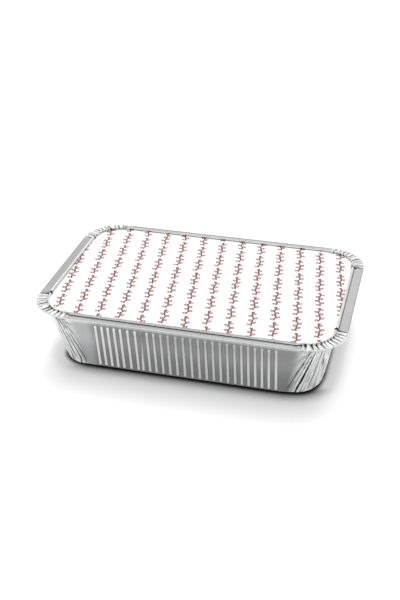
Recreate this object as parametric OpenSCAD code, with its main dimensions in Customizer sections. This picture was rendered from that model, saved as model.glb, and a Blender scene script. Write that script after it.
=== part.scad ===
// Foil food container with a board lid crimped under its folded lip.
// The tray is one pressed sheet: raised base panel, foot ring, ribbed walls,
// creased corners, flange, and a lip folded over the lid and rolled to a bead.

/* [Rim] */
// Length over the rim, left to right
rim_l = 215; // [170:1:300]
// Width over the rim, front to back
rim_w = 146; // [120:1:220]
// Height of the underside of the flange above the table
rim_z = 45.4; // [28:0.1:80]
// Outside radius of the rim's corners
rim_r = 26.5; // [22:0.5:34]
// Width of the flange that carries the lid, from wall to fold
flange_w = 8; // [6:0.5:10]
// Width of the folded lip on the two long sides, without its bead
lip_long = 5.6; // [3:0.1:8]
// Width of the folded lip on the left side, without its bead
lip_left = 6.8; // [3:0.1:8]
// Width of the folded lip on the right side, without its bead
lip_right = 7.7; // [3:0.1:8]
// Diameter of the rolled bead at the edge of the lip
bead_d = 1.5; // [1:0.1:2.2]

/* [Tray body] */
// Thickness of the foil
foil_t = 0.1; // [0.07:0.01:0.2]
// How far the foot of each wall lies inside the outer edge of the rim
base_inset = 16; // [13:0.5:22]
// Outside radius of the corners at the foot of the walls
base_r = 16; // [12:0.5:22]
// Radius of the round between wall and foot
foot_round = 1.5; // [0.8:0.1:2.5]
// Width of the flat foot ring
foot_w = 4; // [2:0.5:6]
// Height of the base panel above the foot ring
panel_rise = 1.2; // [0.5:0.1:2.5]

/* [Ribs] */
// Distance from rib to rib
rib_pitch = 4.85; // [4:0.05:9]
// Width of one rib at its root
rib_w = 2.3; // [1.4:0.1:3.2]
// How far a rib stands out of the wall
rib_h = 0.75; // [0.3:0.05:1.2]
// Plain wall between the last rib and the corner round of the foot
rib_margin = 11.7; // [10:0.1:30]
// Plain band between the top of the ribs and the flange
rib_top_gap = 7; // [3:0.1:12]
// Which rib of the front wall is half flattened, counted from the left
dented_rib = 8; // [1:1:9]
// How far the flattened rib leans sideways
dent_lean = 1.3; // [0:0.1:1.5]

/* [Corner pleats] */
// Number of pleats in each corner
pleats = 12; // [6:3:15]
// How high the pleats of the lip stand
pleat_rise = 1.3; // [0.3:0.1:1.6]
// Depth of the creases in the corner walls
crease_depth = 0.7; // [0.1:0.05:0.9]
// How far the pleats run on along the straight rim past each corner
fan_top = 4; // [1:0.5:8]
// How far the creases run on along the straight foot past each corner
fan_foot = 8; // [2:0.5:9]
// Seed for the uneven heights and places of the pleats
pleat_seed = 41; // [1:1:99]

/* [Lid] */
// Thickness of the board
lid_t = 0.6; // [0.3:0.05:1.2]
// Clearance between the board and the foil above and below it
lid_gap = 0.05; // [0.02:0.01:0.15]
// Clearance between the edge of the board and the fold of the rim
lid_edge_gap = 0.6; // [0.5:0.1:1.5]

/* [Hidden] */

// Height of the folded rim: two layers of foil with the board between them
fold_h = lid_t + 2 * lid_gap + 2 * foil_t;
// Size of the small round between wall and flange, and how far the wall ends inside it
shoulder = 1;
shoulder_set = 0.2;
// How far the two bends of the fold lie inside its outermost line
fold_round = 0.25;
// How far the lip is drawn out at a ridge and pulled back in a valley of the pleats,
// and how far the flange sags under a valley
ridge_reach = 0.6;
valley_draw = 0.4;
valley_sag = 0.2;
// Bead radius to the upper skin of the foil, and how far it is rolled, in degrees
bead_r = bead_d / 2 - foil_t;
bead_turn = 270;
bead_steps = 5;
// Least corner radius on the base
least_r = 1;
// Columns of points in a corner, and steps between the columns of the base
cols = 2 * pleats;
base_step = 3;
base_cols = cols / base_step;
// Rows of points in a corner wall between foot and flange
wall_rows = 4;
// Places of named rows in the section
row_foot = 2;
row_top = row_foot + wall_rows;
rows = row_top + 6 + bead_steps;
// How much each row of the section takes of the corner creases
crease_share = [0.1, 0.2, 0.4, 0.8, 1, 0.95, 0.8, 0.5, 0.2, 0.15, 0.15];
// Ribs: outline as shares of half the width and of the height, with the point beyond
// each end, then the length of the sloped ends and the gap below them
rib_outline = [[-1, 0], [-0.62, 0.72], [0, 1], [0.62, 0.72], [1, 0]];
rib_points = len(rib_outline);
rib_tip = [0, -0.35];
rib_end = 1.5;
rib_foot_gap = 0.8;
dented_share = 0.45;
front_side = 2;
segments_lid = 12;

function mix(a, b, t) = a + (b - a) * t;
function unit(v) = v / norm(v);
function turn(q, v) = [v[0] * cos(90 * q) - v[1] * sin(90 * q), v[0] * sin(90 * q) + v[1] * cos(90 * q)];

// Uneven numbers from 0 to 1, four for each column of each corner
uneven = rands(0, 1, 16 * (cols + 1), pleat_seed);
function chance(q, j, n) = uneven[4 * (q * (cols + 1) + j) + n];

// A point on the rounded rectangle that lies inset from the rim: corner q of 4,
// corner radius r, run-on along the straights ext, and place tau from 0 to 1
function outline_xy(q, inset, r, ext, tau) =
    let (s = tau * (2 * ext + r * PI / 2) - ext,
         arc = r * PI / 2,
         a = min(max(s / arc, 0), 1) * 90,
         before = min(s, 0),
         after = max(s - arc, 0),
         half = q % 2 == 0 ? [rim_l / 2, rim_w / 2] : [rim_w / 2, rim_l / 2])
    turn(q, [half[0] - inset - r + r * cos(a) - after, half[1] - inset - r + r * sin(a) + before]);

// How strongly column j of a corner is pleated: not at all at the two ends
function pleated(j) = min(1, min(j, cols - j) / 2);
function is_ridge(j) = j % 2;

// Width of the lip on side q, which runs from corner q to the next corner: back, left,
// front and right
function lip_side(q) = [lip_long, lip_left, lip_long, lip_right][q % 4];

// The section of column j in corner q, from the foot out, up the wall, along the
// flange, round the fold, back over the lid and round the bead: [inset, z, r, ext]
function section(q, j) =
    let (e = pleated(j),
         ridge = is_ridge(j),
         size = e * (0.4 + 0.6 * chance(q, j, 0)),
         lift = size * (ridge ? pleat_rise : 0.12 * pleat_rise),
         lip = mix(lip_side(q + 3), lip_side(q), j / cols) + size * (ridge ? ridge_reach : -valley_draw),
         roll = bead_r * (1 - size * (ridge ? 0.35 : 0.6)),
         sag = ridge ? 0 : valley_sag * size,
         lip_z = rim_z + fold_h,
         foot = [for (a = [0, 45, 90])
             [base_inset + foot_round * (1 - sin(a)), foot_round * (1 - cos(a)),
              base_r - foot_round * (1 - sin(a)), fan_foot]],
         top_inset = flange_w + shoulder_set,
         top = [top_inset, rim_z - shoulder, rim_r - top_inset, fan_top],
         wall = [for (i = [1:wall_rows]) mix(foot[2], top, i / wall_rows)],
         flange = [for (p = [[flange_w - shoulder, rim_z - sag], [fold_round, rim_z - sag]])
             [p[0], p[1], rim_r - p[0], fan_top]],
         fold = [[0, rim_z + fold_h / 2, rim_r, fan_top],
                 [fold_round, lip_z, rim_r - fold_round, fan_top],
                 [lip, lip_z + lift, rim_r - lip, fan_top]],
         bead = [for (i = [1:bead_steps])
             let (a = -90 - bead_turn * i / bead_steps,
                  in = lip - roll * cos(a))
             [in, lip_z + lift + roll * (1 + sin(a)), rim_r - in, fan_top]])
    concat(foot, wall, flange, fold, bead);

// Mitred offset of a section vertex towards the inner skin, for a sheet 1 thick
function mitre(sec, k) =
    let (last = len(sec) - 1,
         p = sec[max(k - 1, 0)], c = sec[k], n = sec[min(k + 1, last)],
         d1 = k > 0 ? unit([p[0] - c[0], c[1] - p[1]]) : unit([c[0] - n[0], n[1] - c[1]]),
         d2 = k < last ? unit([c[0] - n[0], n[1] - c[1]]) : d1,
         n1 = [-d1[1], d1[0]],
         n2 = [-d2[1], d2[0]])
    (n1 + n2) / (1 + n1 * n2);

// Place of column j along its corner: ridges lean over, and all are uneven
function column_tau(q, j) = (j + pleated(j) * (0.3 * is_ridge(j) + 0.35 * (chance(q, j, 1) - 0.5))) / cols;

// Crease of column j at row k, outward from the wall
function crease(q, j, k) =
    let (size = pleated(j) * (0.3 + 0.7 * chance(q, j, 2)),
         share = k < len(crease_share) ? crease_share[k] : 0)
    crease_depth * share * size * (is_ridge(j) ? 1 : -0.8);

// All the points of one corner column on one skin: 0 is outer, 1 is inner
function column_points(q, j, skin) =
    let (sec = section(q, j), tau = column_tau(q, j))
    [for (k = [0:rows - 1])
        let (m = mitre(sec, k) * foil_t * skin,
             du = m[0] + crease(q, j, k),
             xy = outline_xy(q, sec[k][0] - du, sec[k][2] + du, sec[k][3], tau))
        [xy[0], xy[1], sec[k][1] + m[1]]];

// The two coarse rings of the base: edge of the raised panel, inner edge of the foot
foot_in = base_inset + foot_round + foot_w;
base_rings = [[foot_in + panel_rise, panel_rise], [foot_in, 0]];
function base_points(q, c, skin) =
    let (tau = c / base_cols)
    [for (i = [0, 1])
        let (in = base_rings[i][0] + skin * foil_t * tan(22.5),
             r = max(base_r - (in - base_inset), least_r),
             xy = outline_xy(q, in, r, fan_foot, tau))
        [xy[0], xy[1], base_rings[i][1] + skin * foil_t]];

corner_columns = [for (skin = [0, 1]) [for (q = [0:3]) [for (j = [0:cols]) column_points(q, j, skin)]]];
corner_list = [for (s = corner_columns) for (q = s) for (j = q) for (p = j) p];
base_list = [for (skin = [0, 1]) for (q = [0:3]) for (c = [0:base_cols])
    for (p = base_points(q, c, skin)) p];
middle_list = [for (skin = [0, 1]) [0, 0, panel_rise + skin * foil_t]];

// Ribs on the flat part of the wall of side q
function flat_half(q) = (q % 2 == 0 ? rim_l : rim_w) / 2 - base_inset - base_r;
function rib_side(q) = max(0, floor((flat_half(q) - rib_margin) / rib_pitch));
function rib_count(q) = 2 * rib_side(q) + 1;
function is_dented(q, i) = q == front_side && i == dented_rib - 1;

// The points of rib i: sloped lower end, then sloped upper end, each with its tip
function rib_list(q, i, skin) =
    let (low_a = corner_columns[skin][q][cols][row_foot],
         low_b = corner_columns[skin][(q + 1) % 4][0][row_foot],
         high_a = corner_columns[skin][q][cols][row_top],
         high_b = corner_columns[skin][(q + 1) % 4][0][row_top],
         low = (low_a + low_b) / 2,
         high = (high_a + high_b) / 2,
         along = unit(low_b - low_a),
         up = unit(high - low),
         out = cross(up, along) * -1,
         reach = norm(high - low),
         place = (i - (rib_count(q) - 1) / 2) * rib_pitch,
         h = rib_h * (is_dented(q, i) ? dented_share : 1),
         lean = is_dented(q, i) ? dent_lean : 0,
         ends = [[rib_foot_gap, 1], [reach - rib_top_gap, -1]])
    [for (e = ends)
        for (p = concat(rib_outline, [rib_tip]))
            let (w = e[0] + e[1] * rib_end * p[1],
                 sideways = lean * (2 * w / reach - 1))
            low + up * w + along * (place + sideways + p[0] * rib_w / 2) + out * h * max(p[1], 0)];

side_ribs = [for (skin = [0, 1]) [for (q = [0:3])
    [for (i = [0:rib_count(q) - 1]) for (p = rib_list(q, i, skin)) p]]];
ribs_list = [for (s = side_ribs) for (q = s) for (p = q) p];

// Numbering of the points
function at(skin, q, j, k) = ((skin * 4 + q % 4) * (cols + 1) + j) * rows + k;
base_start = len(corner_list);
function at_base(skin, q, c, i) = base_start + ((skin * 4 + q % 4) * (base_cols + 1) + c) * 2 + i;
middle_start = base_start + len(base_list);
rib_size = 2 * (rib_points + 1);
rib_starts = [for (q = 0, n = 0; q <= 4; n = n + (q < 4 ? rib_count(q) * rib_size : 0), q = q + 1) n];
function at_rib(skin, q, i, top, p) =
    middle_start + 2 + skin * rib_starts[4] + rib_starts[q] + i * rib_size + top * (rib_points + 1) + p;

function flip(face) = [for (i = [len(face) - 1:-1:0]) face[i]];
function skin_faces(faces, skin) = skin == 0 ? faces : [for (f = faces) flip(f)];

// Corner grids, and the straight strips of the rim and of the foot between corners
function grid_faces(s) = [
    for (q = [0:3]) for (j = [0:cols - 1]) for (k = [0:rows - 2])
        for (f = [[at(s, q, j, k), at(s, q, j, k + 1), at(s, q, j + 1, k + 1)],
                  [at(s, q, j, k), at(s, q, j + 1, k + 1), at(s, q, j + 1, k)]]) f,
    for (q = [0:3]) for (k = [0:rows - 2]) if (k < row_foot || k >= row_top)
        for (f = [[at(s, q, cols, k), at(s, q, cols, k + 1), at(s, q + 1, 0, k + 1)],
                  [at(s, q, cols, k), at(s, q + 1, 0, k + 1), at(s, q + 1, 0, k)]]) f];

// Base: panel, its sloped edge, and the flat foot ring that meets the fine columns
function base_faces(s) = [
    for (q = [0:3]) for (c = [0:base_cols])
        [middle_start + s, at_base(s, q, c, 0),
         c < base_cols ? at_base(s, q, c + 1, 0) : at_base(s, q + 1, 0, 0)],
    for (q = [0:3]) for (c = [0:base_cols - 1])
        for (f = [[at_base(s, q, c, 0), at_base(s, q, c, 1), at_base(s, q, c + 1, 1)],
                  [at_base(s, q, c, 0), at_base(s, q, c + 1, 1), at_base(s, q, c + 1, 0)],
                  [at_base(s, q, c, 1), at(s, q, (c + 1) * base_step, 0), at_base(s, q, c + 1, 1)]]) f,
    for (q = [0:3]) for (c = [0:base_cols - 1]) for (j = [0:base_step - 1])
        [at_base(s, q, c, 1), at(s, q, c * base_step + j, 0), at(s, q, c * base_step + j + 1, 0)],
    for (q = [0:3])
        for (f = [[at_base(s, q, base_cols, 0), at_base(s, q, base_cols, 1),
                   at_base(s, q + 1, 0, 1), at_base(s, q + 1, 0, 0)],
                  [at_base(s, q, base_cols, 1), at(s, q, cols, 0),
                   at(s, q + 1, 0, 0), at_base(s, q + 1, 0, 1)]]) f];

// Ribs of side q, the flats between them, and the plain wall all round them
function rib_faces(s, q) =
    let (n = rib_count(q),
         last = rib_points - 1,
         tip = rib_points,
         edge = [0, tip, last],
         top_line = [for (i = [0:n - 1]) for (p = edge) at_rib(s, q, i, 1, p)],
         low_line = [for (i = [0:n - 1]) for (p = edge) at_rib(s, q, i, 0, p)],
         half = floor(len(top_line) / 2),
         end = len(top_line) - 1,
         top_a = at(s, q, cols, row_top), top_b = at(s, q + 1, 0, row_top),
         low_a = at(s, q, cols, row_foot), low_b = at(s, q + 1, 0, row_foot))
    [for (i = [0:n - 1]) for (p = [0:last - 1])
        for (f = [[at_rib(s, q, i, 0, p), at_rib(s, q, i, 1, p),
                   at_rib(s, q, i, 1, p + 1), at_rib(s, q, i, 0, p + 1)],
                  [at_rib(s, q, i, 1, p), at_rib(s, q, i, 1, tip), at_rib(s, q, i, 1, p + 1)],
                  [at_rib(s, q, i, 0, tip), at_rib(s, q, i, 0, p), at_rib(s, q, i, 0, p + 1)]]) f,
     for (i = [0:1:n - 2])
        [at_rib(s, q, i, 0, last), at_rib(s, q, i, 1, last),
         at_rib(s, q, i + 1, 1, 0), at_rib(s, q, i + 1, 0, 0)],
     for (m = [0:end - 1])
        for (f = [[top_line[m], m < half ? top_a : top_b, top_line[m + 1]],
                  [m < half ? low_a : low_b, low_line[m], low_line[m + 1]]]) f,
     [top_line[half], top_a, top_b],
     [low_a, low_line[half], low_b],
     for (k = [row_foot:row_top - 1])
        for (f = [[at(s, q, cols, k), at(s, q, cols, k + 1), top_line[0]],
                  [top_line[end], at(s, q + 1, 0, k + 1), at(s, q + 1, 0, k)]]) f,
     [low_a, top_line[0], low_line[0]],
     [low_line[end], top_line[end], low_b]];

// Raw edge of the foil at the end of the bead
edge_faces = [
    for (q = [0:3]) for (j = [0:cols - 1])
        for (f = [[at(0, q, j + 1, rows - 1), at(0, q, j, rows - 1), at(1, q, j, rows - 1)],
                  [at(0, q, j + 1, rows - 1), at(1, q, j, rows - 1), at(1, q, j + 1, rows - 1)]]) f,
    for (q = [0:3])
        for (f = [[at(0, q + 1, 0, rows - 1), at(0, q, cols, rows - 1), at(1, q, cols, rows - 1)],
                  [at(0, q + 1, 0, rows - 1), at(1, q, cols, rows - 1), at(1, q + 1, 0, rows - 1)]]) f];

function all_faces(s) = skin_faces(
    concat(grid_faces(s), base_faces(s), [for (q = [0:3]) for (f = rib_faces(s, q)) f]), s);

module foil_tray() {
    color("silver")
        polyhedron(points = concat(corner_list, base_list, middle_list, ribs_list),
                   faces = concat(all_faces(0), all_faces(1), edge_faces), convexity = 10);
}

// The board lies on the flange, under the lip, and ends short of the fold
module board_lid() {
    inset = foil_t + lid_edge_gap;
    color("white")
        translate([0, 0, rim_z + foil_t + lid_gap])
        linear_extrude(lid_t)
        polygon([for (q = [0:3]) for (i = [0:segments_lid])
            outline_xy(q, inset, rim_r - inset, 0, i / segments_lid)]);
}

foil_tray();
board_lid();
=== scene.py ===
import math

import bpy
import numpy as np
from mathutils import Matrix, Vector


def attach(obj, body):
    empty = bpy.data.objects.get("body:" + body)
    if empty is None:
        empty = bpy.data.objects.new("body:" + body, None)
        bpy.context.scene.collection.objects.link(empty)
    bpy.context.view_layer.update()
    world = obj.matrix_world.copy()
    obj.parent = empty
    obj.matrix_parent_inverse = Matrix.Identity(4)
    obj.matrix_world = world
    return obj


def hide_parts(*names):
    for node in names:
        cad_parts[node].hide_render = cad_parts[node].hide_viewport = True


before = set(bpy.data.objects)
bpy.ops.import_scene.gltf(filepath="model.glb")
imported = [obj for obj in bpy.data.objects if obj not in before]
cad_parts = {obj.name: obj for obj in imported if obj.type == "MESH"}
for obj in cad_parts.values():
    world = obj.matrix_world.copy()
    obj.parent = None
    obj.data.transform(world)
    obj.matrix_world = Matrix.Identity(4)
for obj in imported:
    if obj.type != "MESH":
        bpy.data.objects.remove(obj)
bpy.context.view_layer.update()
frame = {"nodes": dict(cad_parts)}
print("frame loaded:", ", ".join(frame["nodes"]))

mm = 0.001
quarter = math.pi / 2
black, white = (0, 0, 0, 1), (1, 1, 1, 1)


def smoothStep(low, high, x):
    t = np.clip((x - low) / (high - low), 0, 1)
    return t * t * (3 - 2 * t)


class Wire:  # a shader socket that can be used in Python expressions
    def __init__(self, tree, socket=None):
        self.tree, self.socket = tree, socket

    def node(self, kind, settings=None, inputs=None, output=0):
        made = self.tree.nodes.new(kind)
        for name, value in (settings or {}).items():
            setattr(made, name, value)
        for name, value in (inputs or {}).items():
            if isinstance(value, Wire):
                self.tree.links.new(value.socket, made.inputs[name])
            else:
                made.inputs[name].default_value = value
        return Wire(self.tree, made.outputs[output])

    def operate(self, operation, *values):
        return self.node("ShaderNodeMath", {"operation": operation}, dict(enumerate(values)))

    def __add__(self, other): return self.operate("ADD", self, other)
    def __sub__(self, other): return self.operate("SUBTRACT", self, other)
    def __rsub__(self, other): return self.operate("SUBTRACT", other, self)
    def __mul__(self, other): return self.operate("MULTIPLY", self, other)
    def __truediv__(self, other): return self.operate("DIVIDE", self, other)
    __radd__, __rmul__ = __add__, __mul__

    def size(self): return self.operate("ABSOLUTE", self)
    def floor(self): return self.operate("FLOOR", self)
    def fraction(self): return self.operate("FRACT", self)
    def sine(self): return self.operate("SINE", self)
    def power(self, exponent): return self.operate("POWER", self, exponent)
    def remainder(self, other): return self.operate("FLOORED_MODULO", self, other)
    def least(self, other): return self.operate("MINIMUM", self, other)
    def most(self, other): return self.operate("MAXIMUM", self, other)

    def ramp(self, low, high, first=0.0, last=1.0):
        return self.node("ShaderNodeMapRange", {"interpolation_type": "SMOOTHSTEP"},
                         {"Value": self, "From Min": low, "From Max": high,
                          "To Min": first, "To Max": last})

    def blend(self, first, second):  # two numbers, mixed by this wire
        return self.node("ShaderNodeMix", {"data_type": "FLOAT"},
                         {"Factor": self, 2: first, 3: second})

    def colours(self, first, second, mode="MIX"):  # two colours, mixed by this wire
        return self.node("ShaderNodeMix", {"data_type": "RGBA", "blend_type": mode},
                         {"Factor": self, 6: first, 7: second}, 2)

    def parts(self):
        return [self.node("ShaderNodeSeparateXYZ", None, {0: self}, i) for i in range(3)]

    def vector(self, x, y):
        return self.node("ShaderNodeCombineXYZ", None, {"X": x, "Y": y})

    def noise(self, at, scale=1.0, detail=2.0):
        return self.node("ShaderNodeTexNoise", None,
                         {"Vector": at, "Scale": scale, "Detail": detail, "Roughness": 0.5})

    def bump(self, height, depth, under=None):
        inputs = {"Height": height, "Distance": depth}
        if under:
            inputs["Normal"] = under
        return self.node("ShaderNodeBump", None, inputs)


def newMaterial(name):
    material = bpy.data.materials.new(name)
    material.use_nodes = True
    return material, material.node_tree.nodes["Principled BSDF"], Wire(material.node_tree)


def feed(shader, **sockets):
    for name, value in sockets.items():
        socket = shader.inputs[name.replace("_", " ")]
        if isinstance(value, Wire):
            value.tree.links.new(value.socket, socket)
        else:
            socket.default_value = value


camera = {
    "azimuth": 14.328, "elevation": 29.945, "distance": 777.69,
    "target": (-16.62, 50.15, 0.0), "lens": 59.75, "nearest": 0.01,
}


def addCamera(c):
    a, e = math.radians(c["azimuth"]), math.radians(c["elevation"])
    back = Vector((math.sin(a) * math.cos(e), -math.cos(a) * math.cos(e), math.sin(e)))
    place = (Vector(c["target"]) + back * c["distance"]) * mm
    bpy.ops.object.camera_add(location=place, rotation=back.to_track_quat("Z", "Y").to_euler())
    made = bpy.context.object
    made.data.lens = c["lens"]
    made.data.clip_start = c["nearest"]
    bpy.context.scene.camera = made


addCamera(camera)
print("camera placed")

# The tray is one pressed sheet, so it is made as one: a flat grid whose rows follow the
# section, from the base out to the rim and round its bead, and whose columns run round it.
# Lengths are in millimetres, turns in degrees. What has four values has them for the back,
# left, front and right side, or for the corner before each of these sides.
tray = {
    # rim
    "long": 215.0, "wide": 146.0, "rimZ": 45.4, "rimR": 26.5, "flange": 8.0, "foil": 0.1,
    "fold": 0.9, "foldRound": 0.32, "shoulder": 1.0, "shoulderSet": 0.2,
    "lips": (6.1, 7.7, 4.6, 7.8), "lipCreaseAt": 0.56, "lipCrease": 0.24,
    "beadR": 0.86, "beadTurn": 322, "beadSteps": 10,
    # body
    "footInset": 16.0, "footR": 16.0, "footRound": 1.5, "footRing": 4.0, "panelRise": 1.2,
    # rows of the section: the panel's edge (run, rise), foot, wall, flange (share, drop, share of
    # the way from fanTop to fanRim), round of the fold, and lip (share, painted shade)
    "panelRows": ((1.4, 1.0), (1.1, 0.92), (0.3, 0.08), (0.0, 0.0)),
    "footTurns": (0, 30, 60, 90),
    "wallRows": (0.8, 1.5, 2.3, 5, 9.5, 14.5, 19.5, 24.5, 29.5, 33.5, 35.6, 36.6, 37.6, 41),
    "flangeRows": ((0.975, 0.4, 0.4), (0.8875, 0, 0.6), (0.4375, 0, 1), (0.0625, 0, 1)),
    "noseTurns": (-55, -15, 25, 62),
    "lipRows": ((0.14, 0.3), (0.34, 0), (0.56, 0), (0.74, 0), (0.84, 1), (1.0, 1)),
    # ribs: steps across one rib in half widths, with the flat after it
    "pitch": 4.85, "ribWide": 2.3, "ribHigh": 0.75, "ribs": (27, 13), "ribCrown": 0.75,
    "ribUneven": 0.06, "ribGap": 0.2, "ribEnd": 0.9, "ribStart": 0.3, "ribTopGap": 7.0,
    "ribSteps": (-1, -0.66, -0.24, 0.24, 0.66, 1, 1.55),
    # the dented rib: which one, its share of the height, its lean, and its painted highlight at the
    # foot and at the top
    "dentedRib": 7, "dentShare": 0.6, "dentLean": 1.3, "dentShine": (0.9, 0.1),
    # how far the front ribs have drifted sideways: rib, shift
    "drift": ((0, 2.3), (4, 0.4), (6, 1.1), (8.5, -0.6), (11, -0.3), (15, 1.1), (20, 1.6),
              (25, 0.4)),
    # corners: how far their folds run on past the arc at the foot, at the top of the wall and at
    # the rim, and how much wider they spread along the left end of the front wall
    "pleats": 13, "pleatSteps": 4, "creases": 13, "plainSteps": 7, "seed": 41,
    "fanFoot": 8.5, "fanTop": -6.0, "fanRim": 4.0, "wideFan": 1.35, "fanSpread": 5.0,
    "footDents": (0, 0, 1.8, 2.4), "footDentEnds": (1, 1, 0.75, 1),
    "topBulge": 1.5, "bulgeTo": 0.85,
    # folds of the rim, creases of the wall, fine folds and edge of the lip: how uneven their
    # places are, how deep the valleys and how high the least ridge
    "rimFolds": (0.9, 0.35, 0.45), "wallFolds": (0.9, 1.0, 0.5),
    "fineFolds": (0.8, 0.6, 0.25), "edgeFolds": (0.9, 0.5, 0.25),
    # creases of the wall: height, loss of it up the wall, height at which they are full, ease of
    # their ends, and where up the wall they start and end
    "creaseHigh": 1.4, "creaseLoss": 0.55, "creaseFull": 3.0, "creaseEase": 0.1,
    "creaseStart": (-0.25, 0.3), "creaseEnd": (0.7, 1.2),
    # gathered rim: its height, how far the folds push each part of the rim about, and the open
    # fold beside the end of each short side
    "crushHigh": 0.9, "lipDrawn": 0.9, "lipSlip": 0.25, "slipShare": 0.9, "ridgeBow": 0.55,
    "smallHigh": 0.2, "rollLoss": (0.42, 0.2), "flangeSag": 0.15, "noseLift": 0.13,
    "nosePush": 0.15, "holeAt": 0.05, "holeWide": 0.03, "holeDeep": 0.5, "holeRoll": 0.4,
    # marks that the foil's colours follow, all painted light: painted shade in the crevice beside
    # the bead, a painted highlight on top of it, painted shade in the groove under the lip, painted
    # highlights on fold and foot, painted shade and painted highlights on the sides of folds and
    # creases, and painted shade in the open fold
    "crevice": (0.35, 0.45, 1.0, 0.62), "shine": (0.35, 1.0, 0.1, 0.6), "groove": 0.5,
    "beadShadow": (35, 60, 0.6), "beadLight": (180, 80),
    "noseBright": 0.9, "noseDark": (0.2, 0.6), "footBright": 0.1, "footBrightTo": 4.0,
    "deepest": 0.97, "creaseDark": (4.0, 0.35), "creaseBright": (3.2, 0.6),
    "pleatDark": (0.55, 0.3, 3.2, 1.6, 0.3), "pleatBright": (1.6, 0.8, 0.3),
    "holeFrom": 0.7, "crushPale": 0.6, "cornerReach": 0.38, "cornerFade": 8.0, "sideMiddle": 40,
    # maps: gap between two runs, height above the foot from which the finest creases spread,
    # and width and shift of each corner's fan
    "runGap": 4, "apex": 52.0, "fanWide": 6, "fanShift": 7, "smoothTo": 38,
}
# the third and fourth marks hold painted highlights and painted shade
markNames = ("crush", "wall", "bright", "dark", "run", "middle", "corner")


def sectionRows(t):
    # one entry for each row: what it belongs to, inset, height, arc centre, run-on of the
    # corner, and its painted shade; a lip row has its share of the lip, a bead row its turn
    rows = []
    ringIn = t["footInset"] + t["footRound"] + t["footRing"]
    footCentre = t["footInset"] + t["footR"]
    for run, rise in t["panelRows"]:
        rows.append(("base", ringIn + run * t["panelRise"], rise * t["panelRise"],
                     footCentre, t["fanFoot"], 0))
    for turn in t["footTurns"]:
        a = math.radians(turn)
        rows.append(("foot", t["footInset"] + t["footRound"] * (1 - math.sin(a)),
                     t["footRound"] * (1 - math.cos(a)), footCentre, t["fanFoot"], 0))
    low = np.array([t["footInset"], t["footRound"], footCentre, t["fanFoot"]])
    high = np.array([t["flange"] + t["shoulderSet"], t["rimZ"] - t["shoulder"],
                     t["rimR"], t["fanTop"]])
    reach = math.hypot(low[0] - high[0], low[1] - high[1])
    for way in t["wallRows"] + (reach,):
        rows.append(("wall", *(low + (high - low) * way / reach), 0))
    for share, drop, part in t["flangeRows"]:
        fan = t["fanTop"] + part * (t["fanRim"] - t["fanTop"])
        rows.append(("flange", t["flange"] * share, t["rimZ"] - drop, t["rimR"], fan, 0))
    for turn in t["noseTurns"]:
        a = math.radians(turn)
        # the last nose row lies in the groove and gets painted shade
        dark = t["groove"] if turn == t["noseTurns"][-1] else 0
        rows.append(("nose", t["foldRound"] * (1 - math.cos(a)),
                     t["rimZ"] + t["fold"] / 2 * (1 + math.sin(a)), t["rimR"], t["fanRim"], dark))
    for share, dark in t["lipRows"]:
        rows.append(("lip", share, 0, t["rimR"], t["fanRim"], dark))
    # painted shade on the bead's side, and full painted shade at its edge
    at, wide, depth = t["beadShadow"]
    for i in range(t["beadSteps"]):
        turn = t["beadTurn"] * (i + 1) / t["beadSteps"]
        isEdge = i == t["beadSteps"] - 1
        dark = 1 if isEdge else depth * max(0, 1 - abs(turn - at) / wide)
        rows.append(("bead", turn, 0, t["rimR"], t["fanRim"], dark))
    return rows, reach


def foldLine(rng, count, jitter, valley, least):
    # uneven folds along a line from 0 to 1: their places, and heights up and down by turns
    shallowest, endSlope = 0.3, 12
    places = np.linspace(0, 1, 2 * count + 1)
    places[1:-1] += (rng.random(2 * count - 1) - 0.5) * jitter / (2 * count)
    heights = np.zeros(2 * count + 1)
    heights[1::2] = least + (1 - least) * rng.random(count)
    heights[2:-1:2] = -valley * (shallowest + (1 - shallowest) * rng.random(count - 1))
    return places, heights * np.minimum(1, np.minimum(places, 1 - places) * endSlope)


def rimPoint(t, row, lip, folds):
    # inset and height of a row of the lip or of its bead, over flat or folded columns
    part, at = row[:2]
    top = t["rimZ"] + t["fold"]
    crush, small = folds["crush"], folds["small"]
    if part == "lip":
        bow = t["lipCrease"] * np.clip(1 - abs(at - t["lipCreaseAt"]) / t["lipCreaseAt"], 0, 1)
        lift = folds["ridge"] * at ** t["ridgeBow"] \
            + t["smallHigh"] * small * math.sin(math.pi * at * 0.9)
        inset = lip * at + t["lipSlip"] * folds["slip"] * at
        z = top + bow * folds["onLong"]
    else:
        a = -quarter - math.radians(at)
        loss, swing = t["rollLoss"]
        roll = t["beadR"] * (1 - crush * (loss - swing * small)) \
            * (1 + t["holeRoll"] * folds["hole"])
        lift = folds["ridge"]
        inset = lip - roll * math.cos(a)
        z = top + roll * (1 + math.sin(a))
    lowest = -0.02
    return inset, z + np.maximum(lift * crush * t["crushHigh"], lowest)


# a painted highlight along the top of the bead
def beadShine(t, row):
    top, wide = t["beadLight"]
    return max(0, 1 - abs(row[1] - top) / wide) if row[0] == "bead" else 0


# a painted highlight low on the foot
def footShine(t, z):
    return t["footBright"] * max(0, 1 - z / t["footBrightTo"])


def between(values, q, share):  # from the value of the side before corner q to that of the next
    return values[q - 1] + (values[q] - values[q - 1]) * share


def turned(q, x, y, z):
    c, n = round(math.cos(quarter * q)), round(math.sin(quarter * q))
    return np.stack([x * c - y * n, x * n + y * c, z + 0 * x], 1)


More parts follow.
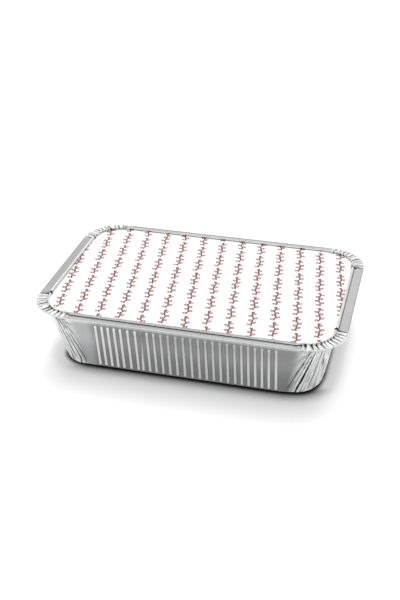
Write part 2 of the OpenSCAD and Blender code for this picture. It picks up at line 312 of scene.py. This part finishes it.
def cornerColumns(t, q, rng):
    # columns of a corner: the plain run before its folds, the folds with the steps between them,
    # and the run after; with each column's place and the heights of the folds there
    rim = foldLine(rng, t["pleats"], *t["rimFolds"])
    crease = foldLine(rng, t["creases"], *t["wallFolds"])
    fine = foldLine(rng, t["pleats"] * 2, *t["fineFolds"])
    edge = foldLine(rng, t["pleats"], *t["edgeFolds"])
    spans = rng.random((t["creases"], 2))

    plain = np.linspace(0, 1, t["plainSteps"], endpoint=False)
    steps = np.arange(t["pleats"] * 2 * t["pleatSteps"] + 1) / t["pleatSteps"]
    folded = np.interp(steps, np.arange(len(rim[0])), rim[0])
    zone = np.repeat([0, 1, 2], [len(plain), len(folded), len(plain)])
    share = np.concatenate([plain, folded, 1 - plain[::-1]])
    inFolds = zone == 1
    toEnd = np.minimum(share, 1 - share)
    fromShort = share if q % 2 == 0 else 1 - share  # from the end of the short side

    def over(line):
        return np.where(inFolds, np.interp(share, *line), 0)

    crushSlope, creaseSlope, creaseLeast, featherSlope, featherLeast = 14, 6, 0.15, 8, 0.12
    crush = np.where(inFolds, np.minimum(1, toEnd * crushSlope), 0)
    slip = np.convolve((rng.random(len(share)) - 0.5) * crush, np.ones(5) / 3, "same")
    hole = np.where(inFolds, np.exp(-((fromShort - t["holeAt"]) / t["holeWide"]) ** 2), 0)
    feather = np.clip((1 - fromShort) * featherSlope, featherLeast, 1)
    spanAt = np.arange(t["creases"]) + 0.5
    start, end = (np.interp(share * t["creases"], spanAt, ends) for ends in spans.T)
    return {
        "zone": zone, "share": share, "inFolds": inFolds, "crush": crush, "slip": slip,
        "hole": hole, "feather": feather, "small": over(fine), "edge": over(edge),
        "ridge": over(rim) * feather - t["holeDeep"] * hole,
        "crease": over(crease) * np.clip(toEnd * creaseSlope, creaseLeast, 1),
        "start": t["creaseStart"][0] + start * (t["creaseStart"][1] - t["creaseStart"][0]),
        "end": t["creaseEnd"][0] + end * (t["creaseEnd"][1] - t["creaseEnd"][0]),
        "blend": np.where(zone == 0, 0, np.where(zone == 2, 1, share)),
        "onLong": (zone == (2 if q % 2 == 0 else 0)) * 1.0,
    }


def bodyRow(t, q, c, row):
    # a row of the foot or wall of a corner, with its creases, their painted shade and painted
    # highlights
    inset, z = row[1:3]
    v = z / t["rimZ"]
    ease = t["creaseEase"]
    within = smoothStep(c["start"] - ease, c["start"] + ease, v) \
        * (1 - smoothStep(c["end"] - ease, c["end"] + ease, v))
    shape = c["crease"] * within
    out = t["creaseHigh"] * shape * (1 - t["creaseLoss"] * v) * min(1, z / t["creaseFull"])
    dent = np.sin(math.pi * np.minimum(1, c["share"] / t["footDentEnds"][q])) * c["inFolds"]
    out = out - t["footDents"][q] * dent * (1 - v) ** 2 + c["bulge"] * v ** 2
    # painted shade on the sunk side of each crease, painted highlights on its raised side and low
    # on the foot
    (darkBy, darkLess), (brightBy, brightLess) = t["creaseDark"], t["creaseBright"]
    dark = np.clip(-shape * darkBy - darkLess, 0, t["deepest"])
    bright = np.maximum(footShine(t, z), np.clip(shape * brightBy - brightLess, 0, 1))
    return inset - out, z, dark, bright


def rimRow(t, q, c, row, lip):
    # a row of the flange, of its fold, or of the lip and bead of a corner, with its pleats
    # and their painted shade and painted highlights
    part, inset, z = row[:3]
    crush, ridge, small = c["crush"], c["ridge"], c["small"]
    if part == "flange":
        out = c["bulge"] * (inset > t["flange"] * t["bulgeTo"])
        return inset - out, z - t["flangeSag"] * np.maximum(ridge, 0), 0 * crush, 0 * crush
    if part == "nose":
        # painted shade in the groove between fine folds, a painted highlight on the rest of the
        # nose
        least, by = t["noseDark"]
        inGroove = row[5] > 0
        dark = crush * np.clip(-small - least, 0, 1) * by * inGroove
        bright = 0 * crush + t["noseBright"] * (not inGroove)
        return inset + t["nosePush"] * np.abs(small), z + t["noseLift"] * ridge, dark, bright
    inset, z = rimPoint(t, row, lip, c)
    across = row[1] if part == "lip" else 1
    # painted shade in the valleys of the pleats and in the open fold, painted highlights on their
    # ridges and on the bead
    base, byAcross, byRidge, bySmall, bow = t["pleatDark"]
    dark = np.clip(base + byAcross * across - ridge * byRidge - small * bySmall, 0, t["deepest"])
    dark = crush * dark * across ** bow * c["feather"]
    dark = np.maximum(dark, c["hole"] * (across > t["holeFrom"]))
    byRidge, bySmall, less = t["pleatBright"]
    bright = np.clip(ridge * byRidge + small * bySmall - less, 0, 1) * crush
    shine = between(t["shine"], q, c["blend"])
    return inset, z, dark, bright + beadShine(t, row) * shine * (1 - crush)


def wrapCorner(t, q, rows, rng):
    c = cornerColumns(t, q, rng)
    zone, share, crush = c["zone"], c["share"], c["crush"]
    # the wall's corner is squarer at its top than its arc
    c["bulge"] = t["topBulge"] * np.sin(math.pi * share) * c["inFolds"]
    lip = between(t["lips"], q, c["blend"]) + crush * t["lipDrawn"] * (1 + c["edge"])
    half = [(t["long"] / 2, t["wide"] / 2), (t["wide"] / 2, t["long"] / 2)][q % 2]
    ribbed = [t["ribs"][(q + n) % 2] * t["pitch"] / 2 for n in (1, 0)]  # before and after

    points = np.zeros((len(rows), len(share), 3))
    marks = np.zeros((len(rows), len(share), len(markNames)))
    for k, row in enumerate(rows):
        part, inset, z, centre, fan, rowDark = row
        onBody, onRim = part in ("foot", "wall"), part in ("flange", "nose", "lip", "bead")
        dark, bright = 0 * crush, 0 * crush
        if onBody:
            inset, z, dark, bright = bodyRow(t, q, c, row)
        elif onRim:
            inset, z, dark, bright = rimRow(t, q, c, row, lip)
        r = centre - inset
        arc = r * quarter
        before, after = half[1] - centre - ribbed[0], half[0] - centre - ribbed[1]
        fanBefore, fanAfter = min(fan, before), min(fan, after)
        if q == 2:
            spread = t["fanSpread"] * z / t["rimZ"] if onBody else 0
            fanAfter = min(fan * t["wideFan"] + spread, after)
        along = np.where(zone == 0, -before + share * (before - fanBefore),
                         np.where(zone == 2, arc + after - (1 - share) * (after - fanAfter),
                                  -fanBefore + share * (arc + fanAfter + fanBefore)))
        if part in ("nose", "lip", "bead"):
            along = along + c["slip"] * t["slipShare"]
        a = np.clip(along / arc, 0, 1) * quarter
        x = half[0] - centre + r * np.cos(a) - np.maximum(along - arc, 0)
        y = half[1] - centre + r * np.sin(a) + np.minimum(along, 0)
        points[k] = turned(q, x, y, z)
        middle = along - arc / 2
        wall = 1 - (np.abs(middle) - t["rimR"] * t["cornerReach"]) / t["cornerFade"]
        # painted shade in the crevice beside the bead, lighter where the rim is gathered
        if part == "lip":
            rowDark = rowDark * between(t["crevice"], q, c["blend"])
        dark = np.maximum(dark, rowDark * (1 - t["crushPale"] * crush))
        run = along / np.mean(arc) * t["rimR"] * quarter
        marks[k] = np.stack([crush * onRim, np.clip(wall, 0, 1) * onBody, bright, dark,
                             run, middle, 0 * along + q], 1)
    return points, marks


def wrapSide(t, q, rows, reach):
    half = (t["wide"] if q % 2 == 0 else t["long"]) / 2
    count = t["ribs"][q % 2]
    number = np.repeat(np.arange(count), len(t["ribSteps"]))
    across = np.tile(t["ribSteps"], count)
    drift = np.interp(number, *zip(*t["drift"])) if q == 2 else 0
    place = (number - (count - 1) / 2) * t["pitch"] + drift + across * t["ribWide"] / 2
    dented = (number == t["dentedRib"]) & (q == 2)
    profile = np.maximum(0, 1 - across ** 2) ** t["ribCrown"]
    uneven = 1 + t["ribUneven"] * np.sin(number * 2.3 + q)
    height = t["ribHigh"] * profile * np.where(dented, t["dentShare"], 1) * uneven
    zeros = np.zeros(len(place))
    flat = {name: zeros for name in ("crush", "ridge", "small", "slip", "hole")}
    flat["onLong"] = zeros + (q % 2 == 0)
    slope = (t["footInset"] - t["flange"]) / t["rimZ"]
    ribTop = reach - t["ribTopGap"]

    points = np.zeros((len(rows), len(place), 3))
    marks = np.zeros((len(rows), len(place), len(markNames)))
    for k, row in enumerate(rows):
        part, inset, z, _, _, rowDark = row
        # painted highlights on the bead, the foot and the nose, painted shade in the crevice and
        # groove
        out, at, bright = zeros, place, zeros + beadShine(t, row) * t["shine"][q]
        dark = zeros + rowDark * (t["crevice"][q] if part == "lip" else 1)
        if part in ("foot", "wall"):
            bright = bright + footShine(t, z)
        if part == "nose":
            bright = bright + t["noseBright"] * (rowDark == 0)
        if part == "wall":
            w = (z - t["footRound"]) / (t["rimZ"] - t["shoulder"] - t["footRound"]) * reach
            within = smoothStep(t["ribGap"] - t["ribStart"], t["ribGap"] + t["ribEnd"], w) \
                * (1 - smoothStep(ribTop - t["ribEnd"], ribTop + t["ribStart"], w))
            out = height * within
            at = place + np.where(dented, t["dentLean"] * (2 * w / reach - 1), 0) * profile
            # a painted highlight along each rib, fading up the dented rib
            low, high = t["dentShine"]
            ribShine = np.where(dented, low + (high - low) * w / reach, 1)
            bright = np.maximum(bright, profile * within * ribShine)
        elif part in ("lip", "bead"):
            inset, z = rimPoint(t, row, t["lips"][q] + zeros, flat)
        points[k] = turned(q, -at, half - inset + out, z - out * slope)
        marks[k] = np.stack([zeros, zeros, bright, dark, place, zeros + t["sideMiddle"],
                             zeros + q], 1)
    return points, marks


def addTray(t):
    rng = np.random.default_rng(t["seed"])
    rows, reach = sectionRows(t)
    points, marks, start = [], [], 0.0
    runMark, middleMark, cornerMark = (markNames.index(n) for n in ("run", "middle", "corner"))
    for q in range(4):
        for place, mark in (wrapCorner(t, q, rows, rng), wrapSide(t, q, rows, reach)):
            points.append(place)
            marks.append(mark)
            mark[:, :, runMark] += start
            start += np.ptp(mark[:, :, runMark]) + t["runGap"]
    points, marks = np.concatenate(points, 1), np.concatenate(marks, 1)
    points, marks = (np.concatenate([a, a[:, :1]], 1) for a in (points, marks))
    rowCount, columnCount = points.shape[0], points.shape[1] - 1

    bpy.ops.object.select_all(action="DESELECT")
    bpy.ops.mesh.primitive_grid_add(x_subdivisions=columnCount, y_subdivisions=rowCount - 1, size=1)
    piece = bpy.context.object
    piece.name = "foilTray"
    mesh = piece.data
    flat = np.zeros(len(mesh.vertices) * 3)
    mesh.vertices.foreach_get("co", flat)
    flat = flat.reshape(-1, 3) + 0.5
    col = np.rint(flat[:, 0] * columnCount).astype(int)
    row = np.rint(flat[:, 1] * (rowCount - 1)).astype(int)
    mesh.vertices.foreach_set("co", (points[row, col] * mm).ravel())
    for i, name in enumerate(markNames[:runMark]):
        layer = mesh.attributes.new(name, "FLOAT", "POINT")
        layer.data.foreach_set("value", marks[row, col, i].astype(np.float32))

    # two maps in centimetres: run and length of the section, and turn and distance seen from
    # a point above each corner, from which its creases spread
    corner = np.zeros(len(mesh.loops), int)
    mesh.loops.foreach_get("vertex_index", corner)
    steps = np.linalg.norm(np.diff(points, axis=0), axis=2)
    length = np.concatenate([np.zeros((1, columnCount + 1)), np.cumsum(steps, 0)])
    footRow = [entry[0] for entry in rows].index("wall") - 1
    run, middle, number = (marks[row, col, i] for i in (runMark, middleMark, cornerMark))
    below = t["apex"] - (length[row, col] - length[footRow, 0])
    mesh.uv_layers[0].name = "sheet"
    maps = {"sheet": (run / 10, length[row, col] / 10),
            "fan": (np.arctan2(middle, below) * t["fanWide"] + number * t["fanShift"],
                    np.hypot(middle, below) / 10)}
    for name, (u, v) in maps.items():
        layer = mesh.uv_layers.get(name) or mesh.uv_layers.new(name=name)
        layer.data.foreach_set("uv", np.stack([u, v], 1)[corner].ravel())

    # close the seam and fill the raised panel
    bpy.ops.object.mode_set(mode="EDIT")
    bpy.ops.mesh.select_mode(type="VERT")
    bpy.ops.mesh.select_all(action="SELECT")
    bpy.ops.mesh.remove_doubles(threshold=1e-7)
    bpy.ops.mesh.select_all(action="DESELECT")
    bpy.ops.object.mode_set(mode="OBJECT")
    for vertex in mesh.vertices:
        vertex.select = abs(vertex.co.z - t["panelRise"] * mm) < 1e-6
    bpy.ops.object.mode_set(mode="EDIT")
    bpy.ops.mesh.edge_face_add()
    bpy.ops.object.mode_set(mode="OBJECT")
    print("tray sheet wrapped:", rowCount, "rows,", columnCount, "columns, panel faces down:",
          [round(p.normal.z, 2) for p in mesh.polygons if len(p.vertices) > 4])

    wall = piece.modifiers.new("foil thickness", "SOLIDIFY")
    wall.thickness = t["foil"] * mm
    wall.offset = -1
    bpy.ops.object.modifier_apply(modifier=wall.name)
    bpy.ops.object.shade_smooth_by_angle(angle=math.radians(t["smoothTo"]))
    mesh.calc_loop_triangles()
    print("tray triangles:", len(mesh.loop_triangles))
    return piece


foilTray = addTray(tray)

# Each "...X" or "...Z" pair says where along the tray, in metres, or how high, in millimetres,
# the value before it sets in.
foil = {
    # The wall is painted darker than the rim, as painted shade, and its corners paler, as a painted
    # reflection; the rim is painted lighter towards the back and right; the white and the
    # near-black colour are those of painted highlights and painted shade.
    "wall": (0.64, 0.645, 0.65, 1), "corner": (0.74, 0.745, 0.75, 1), "cornerMix": 0.8,
    "bright": (0.96, 0.96, 0.96, 1), "dark": (0.03, 0.03, 0.033, 1),
    "rim": (0.72, 0.725, 0.73, 1), "farRim": (0.92, 0.92, 0.92, 1), "rimSlant": 1.2,
    "rimFrom": 44.6, "wallTo": 44.2,
    # painted shade: the wall gets darker to the right, towards the foot and towards the top, and a
    # painted highlight runs along its top
    "rightShade": 0.6, "rightShadeX": (-0.067, -0.06), "footGloom": 0.3, "footGloomZ": (4.0, 34.0),
    "shade": 0.32, "endShade": 0.25, "endShadeX": (0.064, 0.068), "shadeZ": (20.0, 36.0),
    "topHighlight": 0.3, "topHighlightZ": (37.4, 38.8),
    # painted highlights: on the ribs weaker in the middle, stronger at the right end and fading
    # towards the top, and on the rim and where it is gathered
    "dimmedHighlight": 0.72, "dimmedHighlightX": (-0.055, 0.0), "endGleam": 0.2, "endGleamX": (0.03, 0.06),
    "fade": 0.55, "fadeZ": (12.0, 38.0), "leftFade": 0.4, "leftFadeX": (-0.035, -0.01),
    "ribShine": (0.25, 0.75), "rimShine": 0.9, "crushShine": 0.5,
    # thin folds that spread from the corners, as painted highlights and painted shade; how the
    # painted shade sets in; and drawing marks that run up the wall
    "streakAcross": 1.7, "streakAlong": 0.22, "streakThin": 6, "streakBright": 0.8,
    "streakDark": 6, "streakFrom": 0.42, "sunk": (0.1, 0.9),
    "drawnAcross": 9, "drawnAlong": 0.35, "drawnAt": (0.35, 0.75), "drawnMix": 0.22,
    "drawn": (0.72, 0.73, 0.74, 1),
    # finish and relief: each "...Fine" is the scale of a noise, for one metre
    "rough": 0.24, "mottle": 0.14, "mottleFine": 90.0, "brightRough": 0.2, "crushRough": 0.08,
    "beadScuff": 0.7, "foldScuff": 0.12, "mostScuff": 0.8,
    "waveFine": 38.0, "waveDepth": 0.0005, "creaseDepth": 0.0008, "crushDepth": 0.00022,
    "wrinkleAcross": 4.0, "wrinkleAlong": 1.2, "wrinkleThin": 5,
    "crinkleFine": 330.0, "crinkleThin": 4, "crinkleShare": 0.5,
}


def foilMaterial(f):
    material, shader, wire = newMaterial("pressedFoil")
    sheet = wire.node("ShaderNodeUVMap", {"uv_map": "sheet"})
    fan = wire.node("ShaderNodeUVMap", {"uv_map": "fan"})
    crush, wall, bright, dark = [wire.node("ShaderNodeAttribute", {"attribute_name": name}, None, 2)
                                 for name in markNames[:4]]
    place = wire.node("ShaderNodeTexCoord", None, None, 3)
    x, y, z = place.parts()
    z = z / mm
    u, v, _ = sheet.parts()
    angle, away, _ = fan.parts()
    onWall = z.ramp(f["rimFrom"], f["wallTo"])
    drawn = wire.noise(wire.vector(u * f["drawnAcross"], v * f["drawnAlong"]), 1.0, 3.0)
    streaks = wire.noise(wire.vector(angle * f["streakAcross"], away * f["streakAlong"]))
    line = (1 - ((streaks - 0.5) * f["streakThin"]).size()).most(0.0)

    # rim: painted lighter towards the back and right, with painted highlights on the bead, the
    # ridges of its folds and where it is gathered
    rimTone = (x * 2 / (tray["long"] * mm) + y * 2 / (tray["wide"] * mm)) \
        .ramp(-f["rimSlant"], f["rimSlant"]).colours(f["rim"], f["farRim"])
    rimTone = (bright * f["rimShine"] + crush * f["crushShine"]).least(1.0) \
        .colours(rimTone, f["bright"])

    # wall: painted shade to the right, low down and high up, corners painted paler as a painted
    # reflection, and painted highlights on the ribs, on the corner folds and under the rim
    wallTone = x.ramp(*f["rightShadeX"], 1.0, f["rightShade"]).colours(black, f["wall"])
    wallTone = z.ramp(*f["footGloomZ"], f["footGloom"], 0.0).colours(wallTone, black)
    wallTone = (wall * f["cornerMix"]).colours(wallTone, f["corner"])
    shade = z.ramp(*f["shadeZ"]) * (1 - wall) \
        * x.size().ramp(*f["endShadeX"], f["shade"], f["endShade"])
    # painted highlights along the ribs and the corner folds
    ribHighlight = x.ramp(*f["dimmedHighlightX"], 1.0, f["dimmedHighlight"]) + x.ramp(*f["endGleamX"], 0.0, f["endGleam"])
    fade = z.ramp(*f["fadeZ"], 0.0, f["fade"]) * x.ramp(*f["leftFadeX"], f["leftFade"], 1.0)
    raised = bright.ramp(*f["ribShine"]) * (ribHighlight * (1 - fade))
    raised = (raised + line.power(2.0) * wall * f["streakBright"]).least(1.0)
    wallTone = raised.colours(shade.colours(wallTone, black), f["bright"])
    # a painted highlight along the top of the wall
    wallTone = (z.ramp(*f["topHighlightZ"]) * (1 - wall) * f["topHighlight"]).colours(wallTone, f["bright"])

    tone = onWall.colours(rimTone, wallTone)
    # painted shade from the marks and along the corner folds
    sunk = dark.ramp(*f["sunk"]) + (f["streakFrom"] - streaks).most(0.0) * wall * f["streakDark"]
    tone = sunk.least(1.0).colours(tone, f["dark"])
    tone = (drawn.ramp(*f["drawnAt"]) * f["drawnMix"]).colours(tone, f["drawn"], "MULTIPLY")

    # finish and relief
    mottle = wire.noise(place, f["mottleFine"], 3.0)
    rough = f["rough"] + (mottle - 0.5) * f["mottle"] + bright * f["brightRough"] \
        - crush * f["crushRough"]
    wrinkle = wire.noise(wire.vector(u * f["wrinkleAcross"], v * f["wrinkleAlong"]), 1.0, 1.0)
    wrinkle = 1 - ((wrinkle - 0.5) * f["wrinkleThin"]).size()
    crinkle = wire.noise(place, f["crinkleFine"], 1.0)
    crinkle = 1 - ((crinkle - 0.5) * f["crinkleThin"]).size()
    crumpled = (wrinkle + crinkle * f["crinkleShare"]) * crush
    normal = wire.bump(wire.noise(place, f["waveFine"]), f["waveDepth"])
    normal = wire.bump(line * wall, f["creaseDepth"], normal)
    normal = wire.bump(crumpled, f["crushDepth"], normal)
    scuffed = (bright * f["beadScuff"] + crush * f["foldScuff"]).least(f["mostScuff"])
    feed(shader, Base_Color=tone, Metallic=1 - scuffed * (1 - onWall), Roughness=rough,
         Normal=normal)
    return material


foilTray.data.materials.clear()
foilTray.data.materials.append(foilMaterial(foil))
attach(foilTray, "root")
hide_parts("foil_tray")
print("foil finished")

# White board with rows of printed sprigs: a swaying stem with leaves on either side by
# turns and a bud at its end. Lengths in millimetres.
lid = {
    "paper": (0.885, 0.885, 0.88, 1), "rough": 0.42, "waveFine": 25.0, "waveDepth": 0.0004,
    "fibre": (0.84, 0.84, 0.84, 1), "fibreFine": 900.0, "fibreAt": (0.3, 0.7),
    "fibreMix": 0.25, "fibreRough": 0.08,
    "ink": (0.19, 0.012, 0.012, 1), "inkLeast": 0.8, "inkFibre": 0.3,
    "stroke": 0.52, "strokeEdge": (1.25, 0.75),
    "column": 14.75, "period": 20.5, "tilt": -8.0, "shift": 0.5, "uneven": 2.0, "unevenTurn": 2.1,
    "stem": 8.2, "sway": 0.5, "swayTurn": 0.5, "rowTurn": 1.7, "bud": 0.75,
    "leafGap": 2.8, "leafLong": 1.75, "leafWide": 0.8, "leafOut": 1.45, "leafLean": 40.0,
    "lastLeaf": 0.4,  # how far below the stem's end the leaves stop
}


def lidMaterial(s):
    material, shader, wire = newMaterial("printedBoard")
    place = wire.node("ShaderNodeTexCoord", None, None, 3)
    level = wire.node("ShaderNodeMapping", {"vector_type": "POINT"},
                      {"Vector": place, "Rotation": (0, 0, math.radians(s["tilt"])),
                       "Scale": (1 / mm, 1 / mm, 1 / mm)})
    x, y, _ = level.parts()

    # place in one sprig, with the columns shifted against each other
    column = (x / s["column"]).floor()
    px = x - (column + 0.5) * s["column"]
    along = y + (column * s["shift"]).fraction() * s["period"] \
        + (column * s["unevenTurn"]).sine() * s["uneven"]
    row = (along / s["period"]).floor()
    py = along - (row + 0.5) * s["period"]

    # distance from the stem, a leaf's outline and the bud's; past its end each grows faster
    across = px - (py * s["swayTurn"] + row * s["rowTurn"]).sine() * s["sway"]
    stem = across.size() + (py.size() - s["stem"]).most(0.0) * 3
    step = (py / s["leafGap"]).floor()
    ly = py - (step + 0.5) * s["leafGap"]
    lx = across * (1 - step.remainder(2.0) * 2) - s["leafOut"]
    lean = math.radians(s["leafLean"])
    a = lx * math.cos(lean) + ly * math.sin(lean)
    b = ly * math.cos(lean) - lx * math.sin(lean)
    leaf = (b.size() - (1 - (a / s["leafLong"]).power(2.0)) * s["leafWide"]).size()
    leaf = leaf + (a.size() - s["leafLong"]).most(0.0) * 4 \
        + (py.size() - s["stem"] + s["lastLeaf"]).most(0.0) * 3
    by = py - s["stem"] - s["bud"]
    bud = ((px * px + by * by).power(0.5) - s["bud"]).size()

    ink = stem.least(leaf).least(bud).ramp(*(s["stroke"] * edge for edge in s["strokeEdge"]))
    fibre = wire.noise(place, s["fibreFine"], 3.0)
    ink = ink * (s["inkLeast"] + fibre * s["inkFibre"]).least(1.0)
    paper = (fibre.ramp(*s["fibreAt"]) * s["fibreMix"]).colours(s["paper"], s["fibre"])
    feed(shader, Base_Color=ink.colours(paper, s["ink"]),
         Roughness=s["rough"] + (fibre - 0.5) * s["fibreRough"],
         Normal=wire.bump(wire.noise(place, s["waveFine"]), s["waveDepth"]))
    return material


board = frame["nodes"]["board_lid"]
board.data.materials.clear()
board.data.materials.append(lidMaterial(lid))
print("lid finished")

# The world is a plain studio, the same on all four sides, as foil shows it: white low down, a
# dark band, a pale wall with a bright strip at each end and a dark gap between two strips,
# a bright box above it and dark overhead. Each zone has where it begins, where it is full, and
# how bright it is: along a side for strip and gap, and up for box and top. Band and low reach
# up from below, so they have where they start to fade and where they end.
studio = {
    "sky": 0.64, "strip": (0.52, 0.6, 1.5), "gap": (0.7, 0.8, 0.12),
    "box": (0.74, 0.79, 1.5), "top": (0.84, 0.9, 0.3),
    "band": (0.26, 0.34, 0.12), "low": (0.11, 0.19, 1.0),
    "sunTurn": (-8.0, 68.0), "sunPower": 2.2, "sunSoft": 52.0,
    # floor: a painted shadow from ambient occlusion, on top of the real one, with a thin and a wide
    # part, and the wide one is weaker aside and behind
    "floorSize": 12.0, "floor": 0.66, "glow": 0.35, "sideGlow": 0.45, "sideGlowX": (0.085, 0.12),
    "contact": (0.0055, 0.016), "thinShade": (0.4, 0.9), "wideShade": (0.3, 1.0),
    "behindY": (-0.056, -0.042), "asideX": (-0.066, -0.086), "asideGlow": 0.8,
}


def addFloor(s):
    bpy.ops.object.select_all(action="DESELECT")
    bpy.ops.mesh.primitive_plane_add(size=s["floorSize"], location=(0, 0, 0))
    floor = bpy.context.object
    floor.name = "floor"
    material, shader, wire = newMaterial("paleFloor")
    thin, wide = (wire.node("ShaderNodeAmbientOcclusion", {"samples": 8}, {"Distance": reach}, 1)
                  for reach in s["contact"])
    seen, mirrored, through = (wire.node("ShaderNodeLightPath", None, None, i) for i in (0, 3, 6))
    x, y, _ = wire.node("ShaderNodeTexCoord", None, None, 3).parts()
    aside = y.ramp(*s["behindY"]).most(x.ramp(*s["asideX"])) * s["asideGlow"]
    clear = (thin.ramp(*s["thinShade"]) * wide.ramp(*s["wideShade"]).most(aside)).most(mirrored)
    glow = x.size().ramp(*s["sideGlowX"], s["glow"], s["sideGlow"])
    light = seen.most(mirrored).most(through)
    feed(shader, Base_Color=clear.colours(black, (s["floor"],) * 3 + (1,)), Roughness=1.0,
         Specular_IOR_Level=0.0, Emission_Strength=1.0,
         Emission_Color=(clear * light * glow).colours(black, white))
    floor.data.materials.append(material)


def addWorld(s):
    world = bpy.data.worlds.new("studio")
    bpy.context.scene.world = world
    world.use_nodes = True
    wire = Wire(world.node_tree)
    toRight, toBack, up = wire.node("ShaderNodeTexCoord", None, None, 0).parts()
    slant = toRight.size().least(toBack.size()) / toRight.size().most(toBack.size())
    strength = s["sky"]
    for way, name in ((slant, "strip"), (slant, "gap"), (up, "box"), (up, "top")):
        begins, full, light = s[name]
        strength = way.ramp(begins, full).blend(strength, light)
    for name in ("band", "low"):
        fades, ends, light = s[name]
        strength = up.ramp(fades, ends).blend(light, strength)
    background = world.node_tree.nodes["Background"]
    world.node_tree.links.new(strength.socket, background.inputs["Strength"])
    background.inputs["Color"].default_value = white


def addSun(s):
    turn, height = (math.radians(a) for a in s["sunTurn"])
    toSun = Vector((math.sin(turn) * math.cos(height), math.cos(turn) * math.cos(height),
                    math.sin(height)))
    bpy.ops.object.light_add(type="SUN", location=toSun,
                             rotation=toSun.to_track_quat("Z", "Y").to_euler())
    sun = bpy.context.object
    sun.data.energy = s["sunPower"]
    sun.data.angle = math.radians(s["sunSoft"])
    sun.visible_glossy = False  # the foil shows the studio, not a second bright disc


addFloor(studio)
addWorld(studio)
addSun(studio)
bpy.context.scene.view_settings.view_transform = "Standard"
print("studio ready")
